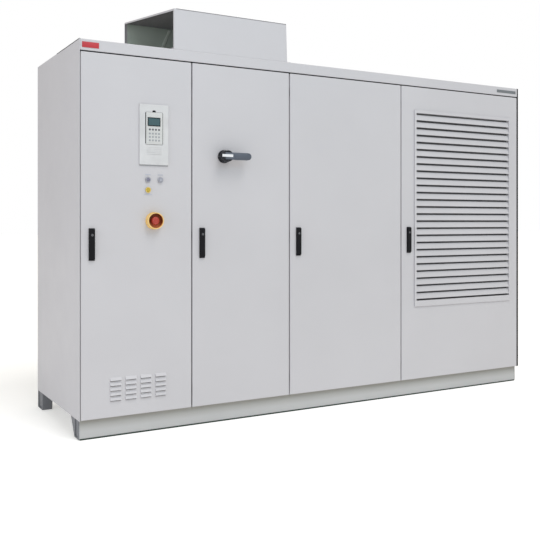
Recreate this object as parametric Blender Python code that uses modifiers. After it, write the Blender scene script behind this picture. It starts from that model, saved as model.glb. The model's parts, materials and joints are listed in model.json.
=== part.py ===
"""Variable frequency drive: a free-standing, air-cooled, four-door power cabinet with a roof exhaust hood.

Metres, +Z up. The cabinet stands on Z = 0 and its doors face -Y. X = 0 is the middle of its length.
"""

import math

import bmesh
import bpy
from mathutils import Matrix, Vector

# Cabinet envelope.
LENGTH = 3.000
DEPTH = 0.900
TOP_Z = 2.005
BODY_Z = 0.100
LEFT = -LENGTH / 2
RIGHT = LENGTH / 2
HANDLE_REACH = 0.070
FRONT = -(DEPTH + HANDLE_REACH) / 2 + HANDLE_REACH
BACK = FRONT + DEPTH
SHEET = 0.002
SIDE_SHEET = 0.0025
TOUCH = 0.0003
ON_FLOOR = BODY_Z + 0.0036

# Doors, from left to right: name, left and right end of the section.
SECTIONS = (
    ("control", LEFT, LEFT + 0.600),
    ("isolator", LEFT + 0.600, LEFT + 1.200),
    ("inverter", LEFT + 1.200, LEFT + 2.000),
    ("filter", LEFT + 2.000, RIGHT),
)
DOOR_GAP = 0.006
DOOR_BOTTOM = 0.102
DOOR_TOP = 1.942
DOOR_DEPTH = 0.026
DOOR_FOLD = 0.004
FASCIA_BOTTOM = 1.948
FASCIA_DEPTH = 0.030

# Door frame behind the doors.
FRAME_FRONT = FRONT + 0.034
FRAME_BACK = FRONT + 0.074
POST_HALF = 0.025

# Concealed hinges at the right edge of each door.
HINGE_INSET = 0.007
HINGE_ROD_R = 0.0035
HINGE_BORE_R = 0.0042
HINGE_LUG_Z = (0.200, 1.020, 1.830)
HINGE_LUG_HALF = 0.020

# Swing handles and the lock bar that each one drives.
HANDLE_X = 0.0545
HANDLE_PIVOT_Z = 0.924
HANDLE_PLATE_Z = (0.898, 1.060)
PINION_R = 0.0105
BAR_X = (0.0315, 0.0435)
BAR_Y = (0.010, 0.014)
BAR_Z = (0.150, 1.885)
GUIDE_Z = (0.420, 1.240, 1.640)

# Operator panel and buttons on the control door.
PANEL_X = LEFT + 0.3855
PANEL_Z = 1.5775
PANEL_SIZE = (0.089, 0.166)
BEZEL_Z = (1.388, 1.702)
BEZEL_HALF = 0.0785
BUTTONS = (
    ("pushbutton_left", LEFT + 0.354, 1.311),
    ("pushbutton_right", LEFT + 0.422, 1.311),
    ("pushbutton_yellow", LEFT + 0.354, 1.2575),
)
BUTTON_R = 0.0088
BUTTON_BORE_R = 0.0092
BUTTON_TUBE_R = 0.0109
BUTTON_HOLE_R = 0.0113
BUTTON_RING_R = 0.0150
ESTOP_X = PANEL_X
ESTOP_Z = 1.098
ESTOP_PLATE_R = 0.0445
ESTOP_GUARD_R = (0.0430, 0.0415)
ESTOP_WELL_R = 0.0385
ESTOP_GUARD_DEPTH = 0.036
ESTOP_HEAD_R = 0.0215
LOUVRE_X = (0.155, 0.235, 0.315, 0.395)
LOUVRE_WIDTH = 0.058
LOUVRE_ROWS = 5
LOUVRE_PITCH = 0.025
LOUVRE_LOW_Z = 0.187

# Isolator handle on the second door.
ISOLATOR_X = LEFT + 0.7855
ISOLATOR_Z = 1.448
LEVER_REACH = 0.136

# Air inlet grille on the fourth door.
GRILLE_X = (LEFT + 2.102, LEFT + 2.926)
GRILLE_Z = (0.558, 1.798)
GRILLE_BORDER = 0.0135
GRILLE_PROUD = 0.008
SLOT_COUNT = 27
SLOT_TOP_Z = 1.773
SLOT_PITCH = 0.0451
SLOT_HALF = 0.0058
SLAT_LEAN = math.radians(-20)

# Exhaust hood on the roof.
HOOD_X = (LEFT + 0.500, LEFT + 1.188)
HOOD_Y = (FRONT + 0.004, FRONT + 0.824)
HOOD_FRONT_H = 0.217
HOOD_BACK_H = 0.311
HOOD_END_LEAN = 0.007
HOOD_LIP = 0.016

# Cable entry in the floor of the isolator section.
CABLE_ENTRY_X = (LEFT + 0.740, LEFT + 1.060)
CABLE_ENTRY_Y = (-0.230, -0.110)

# Roof fan.
FAN_X = LEFT + 0.900
FAN_Y = 0.020
FAN_BORE_R = 0.225
FAN_BOTTOM = 1.830
FAN_BLADES = 7
BLADE_PITCH = math.radians(34)

LIGHT_GREY = (0.600, 0.592, 0.596)
SIDE_GREY = (0.560, 0.552, 0.566)
ZINC = (0.50, 0.51, 0.52)


def clear_scene():
    for obj in list(bpy.data.objects):
        bpy.data.objects.remove(obj, do_unlink=True)


clear_scene()
PARTS = bpy.data.collections.new("variable_frequency_drive")
CUTTERS = bpy.data.collections.new("cutters")
CUTTERS.hide_render = True
for group in (PARTS, CUTTERS):
    bpy.context.scene.collection.children.link(group)
ORIGINS = {}


def paint(name, colour, roughness, metallic=0.0):
    material = bpy.data.materials.new(name)
    material.use_nodes = True
    shader = material.node_tree.nodes["Principled BSDF"]
    shader.inputs["Base Color"].default_value = (*colour, 1.0)
    shader.inputs["Roughness"].default_value = roughness
    shader.inputs["Metallic"].default_value = metallic
    return material


# Shapes: each call returns a function that adds one closed shape to a mesh.


def box_between(x0, x1, y0, y1, z0, z1):
    def add(bm):
        size = Matrix.Diagonal((x1 - x0, y1 - y0, z1 - z0, 1))
        middle = Matrix.Translation(((x0 + x1) / 2, (y0 + y1) / 2, (z0 + z1) / 2))
        bmesh.ops.create_cube(bm, size=1, matrix=middle @ size)

    return add


def box_turned(matrix, size):
    def add(bm):
        bmesh.ops.create_cube(bm, size=1, matrix=matrix @ Matrix.Diagonal((*size, 1)))

    return add


def rod(start, end, radius, sides=16, end_radius=None):
    """A cylinder between two points, or a cone where the end radius differs."""

    def add(bm):
        a, b = Vector(start), Vector(end)
        turn = (b - a).to_track_quat("Z", "Y").to_matrix().to_4x4()
        bmesh.ops.create_cone(
            bm,
            cap_ends=True,
            segments=sides,
            radius1=radius,
            radius2=radius if end_radius is None else end_radius,
            depth=(b - a).length,
            matrix=Matrix.Translation((a + b) / 2) @ turn,
        )

    return add


def disc(x, z, out, depth, radius, sides=24, end_radius=None):
    """A round piece across the door plane: out and depth are distances in front of and behind it."""
    return rod((x, FRONT + depth, z), (x, FRONT - out, z), radius, sides, end_radius)


def frustum(x0, x1, low_y, high_y, z0, z1):
    """A box whose depth differs between its bottom and its top."""

    def add(bm):
        for vert in bmesh.ops.create_cube(bm, size=1)["verts"]:
            near, far = high_y if vert.co.z > 0 else low_y
            vert.co.x = x1 if vert.co.x > 0 else x0
            vert.co.y = far if vert.co.y > 0 else near
            vert.co.z = z1 if vert.co.z > 0 else z0

    return add


def mesh_of(name, shapes, origin=(0, 0, 0), change=None):
    bm = bmesh.new()
    for shape in shapes:
        shape(bm)
    if change is not None:
        change(bm)
    bmesh.ops.translate(bm, verts=bm.verts, vec=-Vector(origin))
    mesh = bpy.data.meshes.new(name)
    bm.to_mesh(mesh)
    bm.free()
    return mesh


def place(name, mesh, material, origin, parent):
    """A named object whose origin is the given point, moved with its parent."""
    obj = bpy.data.objects.new(name, mesh)
    obj.data.materials.append(material)
    PARTS.objects.link(obj)
    ORIGINS[name] = Vector(origin)
    obj.location = ORIGINS[name]
    if parent is not None:
        obj.parent = parent
        obj.location = ORIGINS[name] - ORIGINS[parent.name]
    return obj


def combine(obj, shapes, operation):
    """One Boolean with a helper that holds all the shapes."""
    if not shapes:
        return
    label = operation.lower()
    helper = bpy.data.objects.new(f"{obj.name}_{label}", mesh_of(label, shapes))
    helper.hide_render = True
    helper.display_type = "WIRE"
    CUTTERS.objects.link(helper)
    modifier = obj.modifiers.new(operation.title(), "BOOLEAN")
    modifier.operation = operation
    modifier.solver = "EXACT"
    modifier.use_self = len(shapes) > 1
    modifier.object = helper


def bevel(obj, width, segments=2):
    modifier = obj.modifiers.new("Bevel", "BEVEL")
    modifier.width = width
    modifier.segments = segments
    modifier.limit_method = "ANGLE"
    modifier.angle_limit = math.radians(40)


def solid(name, material, base, add=(), cut=(), origin=(0, 0, 0), parent=None, edge=0.0):
    """A named piece: one base shape, others joined to it, and others cut from the result."""
    obj = place(name, mesh_of(name, [base], origin), material, origin, parent)
    if edge:
        bevel(obj, edge)
    combine(obj, list(add), "UNION")
    combine(obj, list(cut), "DIFFERENCE")
    return obj


def pan(name, material, box, open_side, fold=0.0, add=(), cut=(), origin=(0, 0, 0), parent=None, change=None):
    """Folded sheet metal: a box without its open side, given the thickness of the sheet inwards."""

    def shape_sheet(bm):
        if change is not None:
            change(bm)
        bm.normal_update()
        lid = [face for face in bm.faces if face.normal.dot(Vector(open_side)) > 0.9]
        bmesh.ops.delete(bm, geom=lid, context="FACES")

    mesh = mesh_of(name, [box_between(*box)], origin, shape_sheet)
    obj = place(name, mesh, material, origin, parent)
    if fold:
        bevel(obj, fold)
    wall = obj.modifiers.new("Sheet", "SOLIDIFY")
    wall.thickness = SHEET
    wall.offset = -1
    wall.use_even_offset = True
    combine(obj, list(add), "UNION")
    combine(obj, list(cut), "DIFFERENCE")
    return obj


def turned(name, material, profile, origin, parent, steps=20):
    """A piece turned about an axis that points out of the door: (radius, distance out), rear to front."""
    bm = bmesh.new()
    verts = [bm.verts.new((radius, 0, out)) for radius, out in reversed(profile)]
    for a, b in zip(verts, verts[1:]):
        bm.edges.new((a, b))
    mesh = bpy.data.meshes.new(name)
    bm.to_mesh(mesh)
    bm.free()
    obj = place(name, mesh, material, origin, parent)
    obj.rotation_euler = (math.pi / 2, 0, 0)
    screw = obj.modifiers.new("Turn", "SCREW")
    screw.steps = steps
    screw.render_steps = steps
    screw.use_merge_vertices = True
    screw.merge_threshold = 0.0001
    return obj


def door_ends(index):
    """The left and right edge of a door."""
    _, left, right = SECTIONS[index]
    left += SIDE_SHEET + 0.004 if index == 0 else DOOR_GAP / 2
    right -= SIDE_SHEET + 0.0045 if index == len(SECTIONS) - 1 else DOOR_GAP / 2
    return left, right


def hinge_axis(index):
    return door_ends(index)[1] - HINGE_INSET, FRONT + HINGE_INSET


def base_and_feet():
    foot_grey = paint("foot_grey", (0.115, 0.118, 0.125), 0.55)
    plinth_grey = paint("plinth_grey", (0.500, 0.505, 0.490), 0.45)
    web = FRONT + 0.022
    left, right = LEFT + 0.006, RIGHT - 0.010
    high = BODY_Z - TOUCH
    solid(
        "plinth_front",
        plinth_grey,
        box_between(left, right, web, web + 0.0025, 0, high),
        add=[
            box_between(left, right, web + 0.001, web + 0.063, 0, 0.003),
            box_between(left + 0.155, right - 0.155, web + 0.001, web + 0.040, high - 0.0025, high),
        ],
    )
    front = web + 0.0028
    rear = BACK - 0.002
    rows = (
        ("front", (front, front + 0.075), (front, front + 0.142), 0.003 + TOUCH),
        ("rear", (rear - 0.108, rear), (rear - 0.117, rear), 0.0),
    )
    for side, x0, web_x in (("left", LEFT + 0.001, LEFT), ("right", RIGHT - 0.059, RIGHT)):
        for row, low_y, high_y, low_z in rows:
            foot = frustum(x0, x0 + 0.058, low_y, high_y, low_z, high)
            channel = box_between(
                web_x - 0.006, web_x + 0.006, low_y[0] + 0.012, low_y[1] - 0.014, low_z + 0.008, high + 0.01
            )
            solid(f"foot_{row}_{side}", foot_grey, foot, cut=[channel], edge=0.0025)


def enclosure():
    body = paint("body_paint", LIGHT_GREY, 0.42)
    side = paint("side_paint", SIDE_GREY, 0.42)
    zinc = paint("galvanised_sheet", ZINC, 0.40, 0.85)
    inner = LENGTH / 2 - SIDE_SHEET - TOUCH
    under_roof = TOP_Z - SHEET - TOUCH
    for name, outer, inward in (("left", LEFT, 1), ("right", RIGHT, -1)):
        skin = sorted((outer, outer + inward * SIDE_SHEET))
        fold = sorted((outer + inward * 0.001, outer + inward * 0.022))
        solid(
            f"side_panel_{name}",
            side,
            box_between(*skin, FRONT, BACK, BODY_Z, TOP_Z),
            add=[box_between(*fold, BACK - 0.020, BACK - 0.018, BODY_Z + 0.012, TOP_Z - 0.030)],
        )
    cable_entry = box_between(*CABLE_ENTRY_X, *CABLE_ENTRY_Y, BODY_Z - 0.01, BODY_Z + 0.02)
    floor = box_between(-inner, inner, FRAME_BACK + TOUCH, BACK - 0.0155, BODY_Z + TOUCH, BODY_Z + 0.0033)
    solid("floor_plate", zinc, floor, cut=[cable_entry])

    frame_y = (FRAME_FRONT, FRAME_BACK)
    posts = [(-inner, -inner + 0.042), (inner - 0.042, inner)]
    posts += [(right - POST_HALF, right + POST_HALF) for _, _, right in SECTIONS[:-1]]
    top_rail = box_between(-inner, inner, *frame_y, TOP_Z - 0.080, under_roof)
    solid(
        "front_frame",
        zinc,
        box_between(-inner, inner, *frame_y, BODY_Z + TOUCH, BODY_Z + 0.050),
        add=[top_rail] + [box_between(*x, *frame_y, BODY_Z + 0.010, TOP_Z - 0.010) for x in posts],
    )

    low = ON_FLOOR
    rear = BACK - 0.0158
    front = FRAME_BACK + TOUCH
    air_window = box_between(LEFT + 1.150, LEFT + 1.250, -0.150, 0.300, 0.500, 0.900)
    for name, x, windows in (
        ("partition_control", LEFT + 0.600, []),
        ("partition_power", LEFT + 1.200, [air_window]),
    ):
        flanges = [
            box_between(x - 0.0005, x + 0.025, y, y + 0.0022, low + 0.020, under_roof - 0.025)
            for y in (front, rear - 0.0022)
        ]
        solid(name, zinc, box_between(x - 0.001, x + 0.001, front, rear, low, under_roof), flanges, windows)

    seams = [box_between(x - 0.0015, x + 0.0015, BACK - 0.0007, BACK + 0.01, 0, 3) for x in (-0.9, -0.3, 0.5)]
    rear_box = (-inner, inner, BACK - 0.015, BACK, BODY_Z + TOUCH, under_roof)
    pan("rear_panel", side, rear_box, (0, -1, 0), cut=seams)
    fan_hole = rod((FAN_X, FAN_Y, TOP_Z - 0.05), (FAN_X, FAN_Y, TOP_Z + 0.05), FAN_BORE_R + 0.001, 36)
    roof = box_between(-inner, inner, FRONT + FASCIA_DEPTH + TOUCH, BACK, TOP_Z - SHEET, TOP_Z)
    solid("roof_panel", body, roof, cut=[fan_hole])
    fascia_box = (-inner, inner, FRONT, FRONT + FASCIA_DEPTH, FASCIA_BOTTOM, TOP_Z)
    pan("fascia", body, fascia_box, (0, 1, 0), DOOR_FOLD)


def exhaust_hood():
    """A sloping box over the fan, open below and at its left end, where the sheet turns in as a lip."""

    def slope_and_open(bm):
        for vert in bm.verts:
            if vert.co.z > TOP_Z + 0.1:
                vert.co.z = TOP_Z + (HOOD_BACK_H if vert.co.y > 0 else HOOD_FRONT_H)
                if vert.co.x > FAN_X:
                    vert.co.x -= HOOD_END_LEAN
        bm.normal_update()
        mouth = [face for face in bm.faces if face.normal.x < -0.9]
        bmesh.ops.inset_region(bm, faces=mouth, thickness=HOOD_LIP)
        bmesh.ops.delete(bm, geom=mouth, context="FACES")

    hood_box = (*HOOD_X, *HOOD_Y, TOP_Z + TOUCH, TOP_Z + 0.2)
    hood_paint = paint("hood_paint", LIGHT_GREY, 0.38)
    pan("exhaust_hood", hood_paint, hood_box, (0, 0, -1), 0.004, change=slope_and_open)


def hinge_eyes(index):
    """The plates with a bore, welded inside a door, that turn on the hinge rod."""
    x, y = hinge_axis(index)
    edge = door_ends(index)[1]
    base = HINGE_LUG_HALF + 0.0025
    return [
        box_between(x - 0.012, edge - 0.001, FRONT + 0.001, y + 0.010, z + base, z + base + 0.004)
        for z in HINGE_LUG_Z
    ]


def hinge_cuts(index):
    """The bore for the hinge rod and the notches in the door's edge that clear the frame's lugs."""
    x, y = hinge_axis(index)
    edge = door_ends(index)[1]
    half = HINGE_LUG_HALF + 0.0015
    cuts = [rod((x, y, DOOR_BOTTOM + 0.006), (x, y, DOOR_TOP - 0.006), HINGE_BORE_R, 16)]
    for z in HINGE_LUG_Z:
        cuts.append(box_between(edge - 0.006, edge + 0.002, FRONT + 0.0021, FRONT + 0.04, z - half, z + half))
    return cuts


def bar_guides(index):
    left = door_ends(index)[0]
    guide_y = (FRONT + 0.001, FRONT + 0.018)
    return [
        box_between(left + BAR_X[0] - 0.005, left + BAR_X[1] + 0.005, *guide_y, z - 0.008, z + 0.008)
        for z in GUIDE_Z
    ]


def latch_cuts(index):
    """The channels through the lock bar's guides and the hole for the handle's spindle."""
    left = door_ends(index)[0]
    slack = 0.0005
    x = (left + BAR_X[0] - slack, left + BAR_X[1] + slack)
    y = (FRONT + BAR_Y[0] - slack, FRONT + BAR_Y[1] + slack)
    cuts = [box_between(*x, *y, z - 0.010, z + 0.010) for z in GUIDE_Z]
    cuts.append(disc(left + HANDLE_X, HANDLE_PIVOT_Z, 0.010, 0.006, 0.0065, 16))
    return cuts


def louvres(outer):
    """The pressed hoods at the foot of the control door, or the hollows under them."""
    inset, low, high, base_y, top_y, depth = (
        (0.0, 0.0, 0.017, -0.0085, 0.0004, 0.001)
        if outer
        else (0.0014, -0.004, 0.0150, -0.0090, 0.0012, 0.006)
    )
    shapes = []
    for x in LOUVRE_X:
        for row in range(LOUVRE_ROWS):
            z = LOUVRE_LOW_Z + row * LOUVRE_PITCH
            ends = (LEFT + x + inset, LEFT + x + LOUVRE_WIDTH - inset)
            back = FRONT + depth
            shapes.append(frustum(*ends, (FRONT + base_y, back), (FRONT + top_y, back), z + low, z + high))
    return shapes


def doors():
    door_paint = paint("door_paint", LIGHT_GREY, 0.40)
    button_holes = [disc(x, z, 0.010, 0.006, BUTTON_HOLE_R, 20) for _, x, z in BUTTONS]
    panel_hole = box_between(
        PANEL_X - 0.070, PANEL_X + 0.070, FRONT - 0.01, FRONT + 0.01, BEZEL_Z[0] + 0.014, BEZEL_Z[1] - 0.014
    )
    estop_hole = disc(ESTOP_X, ESTOP_Z, 0.010, 0.006, BUTTON_HOLE_R, 20)
    grille_x = (GRILLE_X[0] + 0.010, GRILLE_X[1] - 0.010)
    grille_z = (GRILLE_Z[0] + 0.010, GRILLE_Z[1] - 0.010)
    grille_hole = box_between(*grille_x, FRONT - 0.01, FRONT + 0.01, *grille_z)
    own_cuts = {
        "control": button_holes + [panel_hole, estop_hole] + louvres(outer=False),
        "isolator": [disc(ISOLATOR_X, ISOLATOR_Z, 0.010, 0.006, 0.0128, 20)],
        "inverter": [],
        "filter": [grille_hole],
    }
    made = {}
    for index, (name, _, _) in enumerate(SECTIONS):
        left, right = door_ends(index)
        made[name] = pan(
            f"door_{name}",
            door_paint,
            (left, right, FRONT, FRONT + DOOR_DEPTH, DOOR_BOTTOM, DOOR_TOP),
            (0, 1, 0),
            DOOR_FOLD,
            add=hinge_eyes(index) + bar_guides(index) + (louvres(outer=True) if name == "control" else []),
            cut=hinge_cuts(index) + latch_cuts(index) + own_cuts[name],
            origin=(*hinge_axis(index), DOOR_BOTTOM),
        )
    return made


def hinges_and_handles(doors_made):
    steel = paint("bright_steel", ZINC, 0.35, 0.9)
    black = paint("handle_black", (0.012, 0.012, 0.014), 0.38)
    for index, (name, _, _) in enumerate(SECTIONS):
        x, y = hinge_axis(index)
        lugs = []
        for z in HINGE_LUG_Z:
            z0, z1 = z - HINGE_LUG_HALF, z + HINGE_LUG_HALF
            lugs.append(box_between(x - 0.006, x + 0.0003, y - 0.001, FRAME_FRONT - 0.001, z0, z1))
            lugs.append(box_between(x - 0.014, x + 0.010, FRAME_FRONT - 0.0035, FRAME_FRONT - TOUCH, z0, z1))
        pin = rod((x, y, DOOR_BOTTOM + 0.008), (x, y, DOOR_TOP - 0.008), HINGE_ROD_R, 12)
        solid(f"hinge_rod_{name}", steel, pin, lugs)

        door = doors_made[name]
        left = door_ends(index)[0]
        x = left + HANDLE_X
        pivot = (x, FRONT, HANDLE_PIVOT_Z)
        solid(
            f"handle_plate_{name}",
            black,
            box_between(x - 0.0155, x + 0.0155, FRONT - 0.005, FRONT - TOUCH, *HANDLE_PLATE_Z),
            cut=[disc(x, HANDLE_PIVOT_Z, 0.02, 0.01, 0.0065, 16)],
            parent=door,
            edge=0.0015,
        )
        low, high = HANDLE_PIVOT_Z - 0.019, HANDLE_PIVOT_Z + 0.132
        solid(
            f"handle_lever_{name}",
            black,
            box_between(x - 0.0140, x + 0.0140, FRONT - 0.0140, FRONT - 0.0054, low, high),
            add=[
                disc(x, HANDLE_PIVOT_Z, 0.010, 0.0155, 0.005, 12),
                disc(x, HANDLE_PIVOT_Z, -0.0095, 0.0155, PINION_R, 20),
            ],
            origin=pivot,
            parent=door,
            edge=0.002,
        )
        bar_y = (FRONT + BAR_Y[0], FRONT + BAR_Y[1])
        tabs = [
            box_between(left + 0.009, left + BAR_X[0] + 0.002, *bar_y, z - 0.009, z + 0.009)
            for z in (0.250, 1.020, 1.800)
        ]
        bar = box_between(left + BAR_X[0], left + BAR_X[1], *bar_y, *BAR_Z)
        start = (left + BAR_X[0], bar_y[0], HANDLE_PIVOT_Z)
        solid(f"lock_bar_{name}", steel, bar, tabs, origin=start, parent=door)


def operator_panel(door):
    plastic = paint("panel_plastic", (0.66, 0.65, 0.64), 0.45)
    x, z = PANEL_X, PANEL_Z
    grooves = [
        box_between(x - 0.038, x + 0.038, FRONT - 0.02, FRONT - 0.0075, low, low + 0.004)
        for low in (1.440, 1.449, 1.458, 1.467, 1.476)
    ]
    collar_z = (BEZEL_Z[0] + 0.016, BEZEL_Z[1] - 0.016)
    pocket = box_between(x - 0.0460, x + 0.0460, FRONT - 0.02, FRONT + 0.016, z - 0.0845, z + 0.0845)
    finger_notch = disc(x, z + 0.084, 0.02, -0.002, 0.011, 16)
    solid(
        "panel_bezel",
        plastic,
        box_between(x - BEZEL_HALF, x + BEZEL_HALF, FRONT - 0.009, FRONT - TOUCH, *BEZEL_Z),
        add=[box_between(x - 0.068, x + 0.068, FRONT - 0.004, FRONT + 0.019, *collar_z)],
        cut=[pocket, finger_notch] + grooves,
        parent=door,
        edge=0.0025,
    )
    half_x, half_z = PANEL_SIZE[0] / 2, PANEL_SIZE[1] / 2
    panel = solid(
        "control_panel",
        paint("keypad_case", (0.60, 0.60, 0.60), 0.40),
        box_between(x - half_x, x + half_x, FRONT - 0.014, FRONT + 0.0155, z - half_z, z + half_z),
        origin=(x, FRONT, z),
        parent=door,
        edge=0.003,
    )
    solid(
        "panel_display",
        paint("display_glass", (0.045, 0.110, 0.125), 0.12),
        box_between(x - 0.0365, x + 0.0305, FRONT - 0.0155, FRONT - 0.0143, 1.5895, 1.6325),
        parent=panel,
    )
    keys = [
        disc(x - 0.0015 + across, z_key, 0.0166, -0.0146, radius, 10)
        for z_key, radius in ((1.5705, 0.0045), (1.5500, 0.0036), (1.5325, 0.0036), (1.5150, 0.0036))
        for across in (-0.0249, -0.0083, 0.0083, 0.0249)
    ]
    solid(
        "panel_keypad",
        paint("key_rubber", (0.30, 0.31, 0.33), 0.6),
        box_between(x - 0.038, x + 0.036, FRONT - 0.0150, FRONT - 0.0143, 1.503, 1.583),
        add=keys,
        parent=panel,
    )


def buttons(door):
    block = paint("contact_block", (0.30, 0.31, 0.32), 0.5)
    caps = {
        "pushbutton_left": paint("cap_dark", (0.28, 0.29, 0.33), 0.35),
        "pushbutton_right": paint("cap_light", (0.55, 0.56, 0.60), 0.35),
        "pushbutton_yellow": paint("cap_yellow", (0.62, 0.42, 0.05), 0.35),
    }
    tubes, bores = [], []
    for name, x, z in BUTTONS:
        tubes.append(disc(x, z, 0.003, 0.016, BUTTON_TUBE_R, 20))
        tubes.append(disc(x, z, 0.005, -TOUCH, BUTTON_RING_R, 20))
        bores.append(disc(x, z, 0.02, 0.024, BUTTON_BORE_R, 20))
        cap = (
            (0, -0.017),
            (BUTTON_R, -0.017),
            (BUTTON_R, 0.0085),
            (BUTTON_R - 0.0015, 0.0100),
            (0, 0.0104),
        )
        turned(name, caps[name], cap, (x, FRONT, z), door, 20)
    solid(
        "pushbutton_block",
        block,
        box_between(LEFT + 0.335, LEFT + 0.441, FRONT + 0.014, FRONT + 0.046, 1.2385, 1.3325),
        tubes,
        bores,
        parent=door,
    )
    x, z = ESTOP_X, ESTOP_Z
    solid(
        "estop_collar",
        paint("collar_yellow", (0.80, 0.52, 0.10), 0.42),
        disc(x, z, 0.0045, -TOUCH, ESTOP_PLATE_R, 32),
        add=[
            disc(x, z, ESTOP_GUARD_DEPTH, -0.003, ESTOP_GUARD_R[1], 32, ESTOP_GUARD_R[0]),
            disc(x, z, 0.003, 0.016, BUTTON_TUBE_R, 20),
            box_between(x - 0.020, x + 0.020, FRONT + 0.014, FRONT + 0.050, z - 0.022, z + 0.022),
        ],
        cut=[
            disc(x, z, 0.05, -0.0065, ESTOP_WELL_R, 32),
            disc(x, z, 0.03, 0.028, 0.0102, 20),
        ],
        parent=door,
    )
    mushroom = (
        (0, -0.018),
        (0.0098, -0.018),
        (0.0098, 0.0155),
        (0.0185, 0.0180),
        (ESTOP_HEAD_R, 0.0205),
        (ESTOP_HEAD_R, 0.0275),
        (0.0185, 0.0315),
        (0.0110, 0.0338),
        (0, 0.0345),
    )
    red = paint("estop_red", (0.42, 0.035, 0.025), 0.35)
    turned("estop_mushroom", red, mushroom, (x, FRONT, z), door, 28)


def isolator(door):
    slate = paint("isolator_slate", (0.085, 0.100, 0.125), 0.45)
    x, z = ISOLATOR_X, ISOLATOR_Z
    solid(
        "isolator_base",
        paint("isolator_black", (0.020, 0.020, 0.024), 0.4),
        disc(x, z, 0.012, -TOUCH, 0.036, 32),
        cut=[disc(x, z, 0.02, 0.01, 0.0128, 20)],
        parent=door,
        edge=0.002,
    )
    tip_x = x + LEVER_REACH - 0.0197
    solid(
        "isolator_handle",
        slate,
        box_between(x - 0.024, tip_x + 0.006, FRONT - HANDLE_REACH, FRONT - 0.044, z - 0.0200, z + 0.0200),
        add=[
            disc(x, z, 0.0630, -0.0124, 0.0310, 28, 0.0285),
            disc(tip_x, z, HANDLE_REACH - 0.0006, -0.0446, 0.0197, 24, 0.0187),
            disc(x, z, 0.0150, 0.020, 0.0120, 20),
        ],
        cut=[disc(x, z, -0.004, 0.03, 0.0075, 16)],
        origin=(x, FRONT, z),
        parent=door,
        edge=0.008,
    )
    steel = paint("shaft_steel", ZINC, 0.3, 0.95)
    start = (x, FRONT + 0.010, z)
    solid("isolator_shaft", steel, rod(start, (x, -0.088, z), 0.006, 12), origin=start)
    phases = [
        box_between(x + across - 0.004, x + across + 0.004, -0.11, 0.02, z + low, z + high)
        for across in (-0.031, 0.031)
        for low, high in ((-0.25, -0.092), (0.092, 0.25))
    ]
    solid(
        "isolator_switch",
        paint("switch_moulding", (0.13, 0.14, 0.16), 0.5),
        box_between(x - 0.094, x + 0.094, -0.100, 0.060, z - 0.137, z + 0.137),
        add=[box_between(LEFT + 0.6013, x - 0.089, 0.020, 0.058, z - 0.107, z + 0.103)],
        cut=phases + [rod((x, -0.11, z), (x, -0.086, z), 0.0066, 16)],
        edge=0.003,
    )


def inlet_grille(door):
    x0, x1 = GRILLE_X
    z0, z1 = GRILLE_Z
    edge = GRILLE_BORDER
    front, rear = FRONT - GRILLE_PROUD, FRONT + 0.018
    first_slot = SLOT_TOP_Z + SLOT_HALF
    last_slot = SLOT_TOP_Z - (SLOT_COUNT - 1) * SLOT_PITCH - SLOT_HALF
    mouth = box_between(x0 + edge, x1 - edge, front - 0.02, rear + 0.02, last_slot, first_slot)
    tub_outside = (x0 + 0.0105, x1 - 0.0105, FRONT - 0.002, rear, z0 + 0.0105, z1 - 0.0105)
    slats = []
    for row in range(SLOT_COUNT - 1):
        z = SLOT_TOP_Z - (row + 0.5) * SLOT_PITCH
        size = (x1 - x0 - 2 * edge + 0.002, 0.0018, (SLOT_PITCH - 2 * SLOT_HALF) / math.cos(SLAT_LEAN))
        lean = Matrix.Translation(((x0 + x1) / 2, FRONT, z)) @ Matrix.Rotation(SLAT_LEAN, 4, "X")
        slats.append(box_turned(lean, size))
    grille = solid(
        "inlet_grille",
        paint("grille_paint", LIGHT_GREY, 0.42),
        box_between(x0, x1, front, FRONT - TOUCH, z0, z1),
        add=[box_between(*tub_outside)],
        cut=[mouth],
        parent=door,
        edge=0.0015,
    )
    combine(grille, slats, "UNION")
    solid(
        "inlet_filter_mat",
        paint("filter_fleece", (0.10, 0.10, 0.105), 0.95),
        box_between(x0 + 0.012, x1 - 0.012, rear + TOUCH, rear + 0.020, z0 + 0.012, z1 - 0.012),
        parent=door,
    )


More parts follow.
